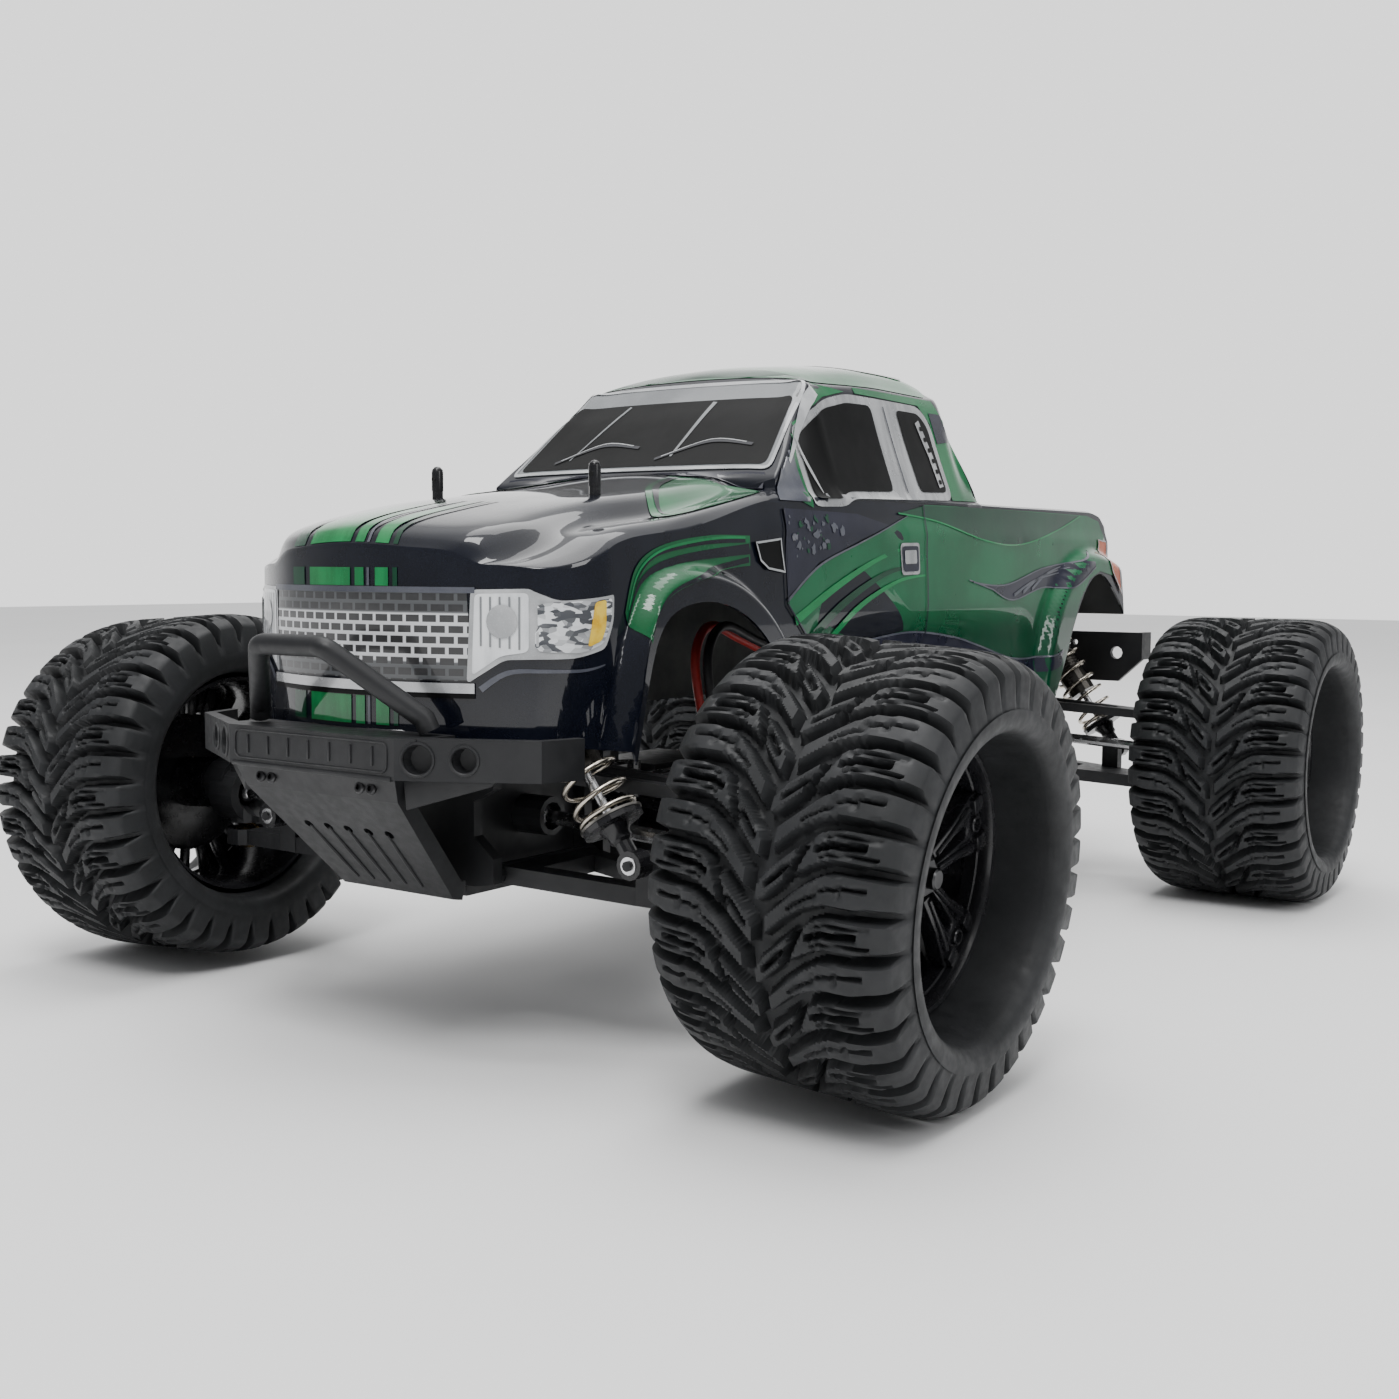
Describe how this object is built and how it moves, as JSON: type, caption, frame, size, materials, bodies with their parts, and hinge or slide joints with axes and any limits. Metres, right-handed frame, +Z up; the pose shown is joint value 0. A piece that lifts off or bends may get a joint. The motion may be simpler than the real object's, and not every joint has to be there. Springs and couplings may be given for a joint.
{
  "type": "rc monster truck",
  "caption": "Radio-controlled monster truck: moulded pickup shell on a sprung four-wheel-drive chassis with steering front wheels and wide lugged tyres.",
  "frame": {"origin": "middle of the bounding box on the floor under the tyres", "axes": "X to the truck's left, Y to its tail (nose towards -Y), Z up"},
  "size_m": [0.478, 0.6307, 0.291],
  "materials": {
    "black_nylon": "moulded black nylon",
    "black_plastic": "smooth black plastic",
    "dark_case": "dark moulded case",
    "tyre_rubber": "soft black rubber",
    "bright_steel": "turned steel",
    "anodised_aluminium": "grey anodised aluminium",
    "spring_nickel": "nickel plated spring wire",
    "pivot_brass": "turned brass",
    "battery_wrap": "printed shrink wrap, plain blue",
    "lead_red": "red silicone insulation",
    "shell_paint": "clear polycarbonate painted green and dark navy"
  },
  "bodies": {
    "chassis": {"chassis_plate": "black_nylon", "front_gearbox": "black_nylon", "rear_gearbox": "black_nylon", "front_shock_tower": "black_nylon", "rear_shock_tower": "black_nylon", "front_body_mount": "black_plastic", "rear_body_mount": "black_plastic", "front_bumper": "black_nylon", "bull_bar": "black_nylon", "rear_bumper": "black_nylon", "battery_pack": "battery_wrap", "battery_lead_red": "lead_red", "battery_lead_black": "dark_case", "motor": "anodised_aluminium", "speed_controller": "dark_case", "steering_servo": "dark_case"},
    "shell": {"body_shell": "shell_paint"},
    "front_left_lower_arm": {"front_left_lower_arm": "black_nylon"},
    "front_left_upper_arm": {"front_left_upper_arm": "black_nylon"},
    "front_left_drive_shaft": {"front_left_drive_shaft": "bright_steel"},
    "front_left_shock": {"front_left_shock_body": "anodised_aluminium", "front_left_spring": "spring_nickel"},
    "front_left_shock_rod": {"front_left_shock_rod": "bright_steel"},
    "front_left_pivot_ball": {"front_left_pivot_ball": "pivot_brass"},
    "front_left_knuckle": {"front_left_knuckle": "black_nylon"},
    "front_left_wheel": {"front_left_rim": "black_plastic", "front_left_tyre": "tyre_rubber"},
    "front_right_lower_arm": {"front_right_lower_arm": "black_nylon"},
    "front_right_upper_arm": {"front_right_upper_arm": "black_nylon"},
    "front_right_drive_shaft": {"front_right_drive_shaft": "bright_steel"},
    "front_right_shock": {"front_right_shock_body": "anodised_aluminium", "front_right_spring": "spring_nickel"},
    "front_right_shock_rod": {"front_right_shock_rod": "bright_steel"},
    "front_right_pivot_ball": {"front_right_pivot_ball": "pivot_brass"},
    "front_right_knuckle": {"front_right_knuckle": "black_nylon"},
    "front_right_wheel": {"front_right_rim": "black_plastic", "front_right_tyre": "tyre_rubber"},
    "rear_left_lower_arm": {"rear_left_lower_arm": "black_nylon"},
    "rear_left_upper_arm": {"rear_left_upper_arm": "black_nylon"},
    "rear_left_drive_shaft": {"rear_left_drive_shaft": "bright_steel"},
    "rear_left_shock": {"rear_left_shock_body": "anodised_aluminium", "rear_left_spring": "spring_nickel"},
    "rear_left_shock_rod": {"rear_left_shock_rod": "bright_steel"},
    "rear_left_hub_carrier": {"rear_left_hub_carrier": "black_nylon"},
    "rear_left_wheel": {"rear_left_rim": "black_plastic", "rear_left_tyre": "tyre_rubber"},
    "rear_right_lower_arm": {"rear_right_lower_arm": "black_nylon"},
    "rear_right_upper_arm": {"rear_right_upper_arm": "black_nylon"},
    "rear_right_drive_shaft": {"rear_right_drive_shaft": "bright_steel"},
    "rear_right_shock": {"rear_right_shock_body": "anodised_aluminium", "rear_right_spring": "spring_nickel"},
    "rear_right_shock_rod": {"rear_right_shock_rod": "bright_steel"},
    "rear_right_hub_carrier": {"rear_right_hub_carrier": "black_nylon"},
    "rear_right_wheel": {"rear_right_rim": "black_plastic", "rear_right_tyre": "tyre_rubber"},
    "steering_link": {"steering_link": "black_plastic"},
    "steering_bellcrank": {"steering_bellcrank": "black_plastic"},
    "left_tie_rod": {"left_tie_rod": "black_plastic"},
    "right_tie_rod": {"right_tie_rod": "black_plastic"},
    "centre_drive": {"centre_shaft": "bright_steel"}
  },
  "joints": [
    {"name": "body_shell_lift", "type": "slide", "parent": "chassis", "child": "shell", "axis": [0, 0, 1], "range_m": [0, 0.04]},
    {"name": "front_left_suspension", "type": "hinge", "parent": "chassis", "child": "front_left_lower_arm", "pos_m": [0.0344, -0.2116, 0.0664], "axis": [0, -1, 0], "range_deg": [-6, 16], "stiffness_Nm_per_rad": 7.5, "springref_deg": -5.16},
    {"name": "front_left_upper_arm_swing", "type": "hinge", "parent": "chassis", "child": "front_left_upper_arm", "pos_m": [0.0344, -0.2116, 0.1064], "axis": [0, -1, 0], "range_deg": [-6.2, 16.2]},
    {"name": "front_left_drive_shaft_swing", "type": "hinge", "parent": "chassis", "child": "front_left_drive_shaft", "pos_m": [0.0344, -0.2116, 0.0864], "axis": [0, -1, 0], "range_deg": [-6.2, 16.2]},
    {"name": "front_left_shock_swing", "type": "hinge", "parent": "chassis", "child": "front_left_shock", "pos_m": [0.042, -0.2366, 0.158], "axis": [0, -1, 0], "range_deg": [-1.68, 4.31]},
    {"name": "front_left_shock_stroke", "type": "slide", "parent": "front_left_shock", "child": "front_left_shock_rod", "axis": [-0.5822, 0, 0.8131], "range_m": [-0.00655, 0.0173], "deforming": ["front_left_spring"]},
    {"name": "front_left_pivot_level", "type": "hinge", "parent": "front_left_lower_arm", "child": "front_left_pivot_ball", "pos_m": [0.1488, -0.2116, 0.06], "axis": [0, -1, 0], "range_deg": [-16.2, 6.2]},
    {"name": "front_left_steer", "type": "hinge", "parent": "front_left_pivot_ball", "child": "front_left_knuckle", "pos_m": [0.1488, -0.2116, 0.08], "axis": [0, 0, 1], "range_deg": [-26, 26]},
    {"name": "front_left_wheel_spin", "type": "hinge", "parent": "front_left_knuckle", "child": "front_left_wheel", "pos_m": [0.188, -0.2116, 0.0821], "axis": [0.9978, 0, -0.0663], "continuous": true},
    {"name": "front_right_suspension", "type": "hinge", "parent": "chassis", "child": "front_right_lower_arm", "pos_m": [-0.0344, -0.2116, 0.0664], "axis": [0, 1, 0], "range_deg": [-6, 16], "stiffness_Nm_per_rad": 7.5, "springref_deg": -5.16},
    {"name": "front_right_upper_arm_swing", "type": "hinge", "parent": "chassis", "child": "front_right_upper_arm", "pos_m": [-0.0344, -0.2116, 0.1064], "axis": [0, 1, 0], "range_deg": [-6.2, 16.2]},
    {"name": "front_right_drive_shaft_swing", "type": "hinge", "parent": "chassis", "child": "front_right_drive_shaft", "pos_m": [-0.0344, -0.2116, 0.0864], "axis": [0, 1, 0], "range_deg": [-6.2, 16.2]},
    {"name": "front_right_shock_swing", "type": "hinge", "parent": "chassis", "child": "front_right_shock", "pos_m": [-0.042, -0.2366, 0.158], "axis": [0, 1, 0], "range_deg": [-1.68, 4.31]},
    {"name": "front_right_shock_stroke", "type": "slide", "parent": "front_right_shock", "child": "front_right_shock_rod", "axis": [0.5822, 0, 0.8131], "range_m": [-0.00655, 0.0173], "deforming": ["front_right_spring"]},
    {"name": "front_right_pivot_level", "type": "hinge", "parent": "front_right_lower_arm", "child": "front_right_pivot_ball", "pos_m": [-0.1488, -0.2116, 0.06], "axis": [0, 1, 0], "range_deg": [-16.2, 6.2]},
    {"name": "front_right_steer", "type": "hinge", "parent": "front_right_pivot_ball", "child": "front_right_knuckle", "pos_m": [-0.1488, -0.2116, 0.08], "axis": [0, 0, 1], "range_deg": [-26.2, 26.2]},
    {"name": "front_right_wheel_spin", "type": "hinge", "parent": "front_right_knuckle", "child": "front_right_wheel", "pos_m": [-0.188, -0.2116, 0.0821], "axis": [0.9978, 0, 0.0663], "continuous": true},
    {"name": "rear_left_suspension", "type": "hinge", "parent": "chassis", "child": "rear_left_lower_arm", "pos_m": [0.0344, 0.2348, 0.0664], "axis": [0, -1, 0], "range_deg": [-6, 16], "stiffness_Nm_per_rad": 7.5, "springref_deg": -5.16},
    {"name": "rear_left_upper_arm_swing", "type": "hinge", "parent": "chassis", "child": "rear_left_upper_arm", "pos_m": [0.0344, 0.2348, 0.1064], "axis": [0, -1, 0], "range_deg": [-6.2, 16.2]},
    {"name": "rear_left_drive_shaft_swing", "type": "hinge", "parent": "chassis", "child": "rear_left_drive_shaft", "pos_m": [0.0344, 0.2348, 0.0864], "axis": [0, -1, 0], "range_deg": [-6.2, 16.2]},
    {"name": "rear_left_shock_swing", "type": "hinge", "parent": "chassis", "child": "rear_left_shock", "pos_m": [0.042, 0.2598, 0.158], "axis": [0, -1, 0], "range_deg": [-1.68, 4.31]},
    {"name": "rear_left_shock_stroke", "type": "slide", "parent": "rear_left_shock", "child": "rear_left_shock_rod", "axis": [-0.5822, 0, 0.8131], "range_m": [-0.00655, 0.0173], "deforming": ["rear_left_spring"]},
    {"name": "rear_left_carrier_level", "type": "hinge", "parent": "rear_left_lower_arm", "child": "rear_left_hub_carrier", "pos_m": [0.1488, 0.2348, 0.06], "axis": [0, -1, 0], "range_deg": [-16.2, 6.2]},
    {"name": "rear_left_wheel_spin", "type": "hinge", "parent": "rear_left_hub_carrier", "child": "rear_left_wheel", "pos_m": [0.188, 0.2348, 0.08], "axis": [1, 0, 0], "continuous": true},
    {"name": "rear_right_suspension", "type": "hinge", "parent": "chassis", "child": "rear_right_lower_arm", "pos_m": [-0.0344, 0.2348, 0.0664], "axis": [0, 1, 0], "range_deg": [-6, 16], "stiffness_Nm_per_rad": 7.5, "springref_deg": -5.16},
    {"name": "rear_right_upper_arm_swing", "type": "hinge", "parent": "chassis", "child": "rear_right_upper_arm", "pos_m": [-0.0344, 0.2348, 0.1064], "axis": [0, 1, 0], "range_deg": [-6.2, 16.2]},
    {"name": "rear_right_drive_shaft_swing", "type": "hinge", "parent": "chassis", "child": "rear_right_drive_shaft", "pos_m": [-0.0344, 0.2348, 0.0864], "axis": [0, 1, 0], "range_deg": [-6.2, 16.2]},
    {"name": "rear_right_shock_swing", "type": "hinge", "parent": "chassis", "child": "rear_right_shock", "pos_m": [-0.042, 0.2598, 0.158], "axis": [0, 1, 0], "range_deg": [-1.68, 4.31]},
    {"name": "rear_right_shock_stroke", "type": "slide", "parent": "rear_right_shock", "child": "rear_right_shock_rod", "axis": [0.5822, 0, 0.8131], "range_m": [-0.00655, 0.0173], "deforming": ["rear_right_spring"]},
    {"name": "rear_right_carrier_level", "type": "hinge", "parent": "rear_right_lower_arm", "child": "rear_right_hub_carrier", "pos_m": [-0.1488, 0.2348, 0.06], "axis": [0, 1, 0], "range_deg": [-16.2, 6.2]},
    {"name": "rear_right_wheel_spin", "type": "hinge", "parent": "rear_right_hub_carrier", "child": "rear_right_wheel", "pos_m": [-0.188, 0.2348, 0.08], "axis": [1, 0, 0], "continuous": true},
    {"name": "steering_link_slide", "type": "slide", "parent": "chassis", "child": "steering_link", "axis": [1, 0, 0], "range_m": [-0.0116, 0.0116]},
    {"name": "steering_bellcrank_turn", "type": "hinge", "parent": "chassis", "child": "steering_bellcrank", "pos_m": [0.02, -0.137, 0.07], "axis": [0, 0, 1], "range_deg": [-28.5, 28.5]},
    {"name": "left_tie_rod_swing", "type": "hinge", "parent": "steering_link", "child": "left_tie_rod", "pos_m": [0.0344, -0.171, 0.0904], "axis": [-0.1377, -0.9905, 0], "range_deg": [-6.2, 16.2]},
    {"name": "right_tie_rod_swing", "type": "hinge", "parent": "steering_link", "child": "right_tie_rod", "pos_m": [-0.0344, -0.171, 0.0904], "axis": [-0.1377, 0.9905, 0], "range_deg": [-6.2, 16.2]},
    {"name": "centre_shaft_spin", "type": "hinge", "parent": "chassis", "child": "centre_drive", "pos_m": [0, 0, 0.0864], "axis": [0, 1, 0], "continuous": true}
  ],
  "couplings": [
    {"joint": "front_left_upper_arm_swing", "follows": "front_left_suspension", "ratio": 1},
    {"joint": "front_left_drive_shaft_swing", "follows": "front_left_suspension", "ratio": 1},
    {"joint": "front_left_shock_swing", "follows": "front_left_suspension", "ratio": 0.263},
    {"joint": "front_left_shock_stroke", "follows": "front_left_suspension", "m_per_rad": 0.061593},
    {"joint": "front_left_pivot_level", "follows": "front_left_suspension", "ratio": -1},
    {"joint": "front_right_upper_arm_swing", "follows": "front_right_suspension", "ratio": 1},
    {"joint": "front_right_drive_shaft_swing", "follows": "front_right_suspension", "ratio": 1},
    {"joint": "front_right_shock_swing", "follows": "front_right_suspension", "ratio": 0.263},
    {"joint": "front_right_shock_stroke", "follows": "front_right_suspension", "m_per_rad": 0.061593},
    {"joint": "front_right_pivot_level", "follows": "front_right_suspension", "ratio": -1},
    {"joint": "front_right_steer", "follows": "front_left_steer", "ratio": 1},
    {"joint": "front_right_wheel_spin", "follows": "front_left_wheel_spin", "ratio": 1},
    {"joint": "rear_left_upper_arm_swing", "follows": "rear_left_suspension", "ratio": 1},
    {"joint": "rear_left_drive_shaft_swing", "follows": "rear_left_suspension", "ratio": 1},
    {"joint": "rear_left_shock_swing", "follows": "rear_left_suspension", "ratio": 0.263},
    {"joint": "rear_left_shock_stroke", "follows": "rear_left_suspension", "m_per_rad": 0.061593},
    {"joint": "rear_left_carrier_level", "follows": "rear_left_suspension", "ratio": -1},
    {"joint": "rear_left_wheel_spin", "follows": "front_left_wheel_spin", "ratio": 1},
    {"joint": "rear_right_upper_arm_swing", "follows": "rear_right_suspension", "ratio": 1},
    {"joint": "rear_right_drive_shaft_swing", "follows": "rear_right_suspension", "ratio": 1},
    {"joint": "rear_right_shock_swing", "follows": "rear_right_suspension", "ratio": 0.263},
    {"joint": "rear_right_shock_stroke", "follows": "rear_right_suspension", "m_per_rad": 0.061593},
    {"joint": "rear_right_carrier_level", "follows": "rear_right_suspension", "ratio": -1},
    {"joint": "rear_right_wheel_spin", "follows": "front_left_wheel_spin", "ratio": 1},
    {"joint": "left_tie_rod_swing", "follows": "front_left_suspension", "ratio": 1},
    {"joint": "right_tie_rod_swing", "follows": "front_right_suspension", "ratio": 1},
    {"joint": "steering_link_slide", "follows": "front_left_steer", "m_per_rad": -0.02521},
    {"joint": "steering_bellcrank_turn", "follows": "front_left_steer", "ratio": -1.05},
    {"joint": "centre_shaft_spin", "follows": "front_left_wheel_spin", "ratio": 3.3}
  ]
}
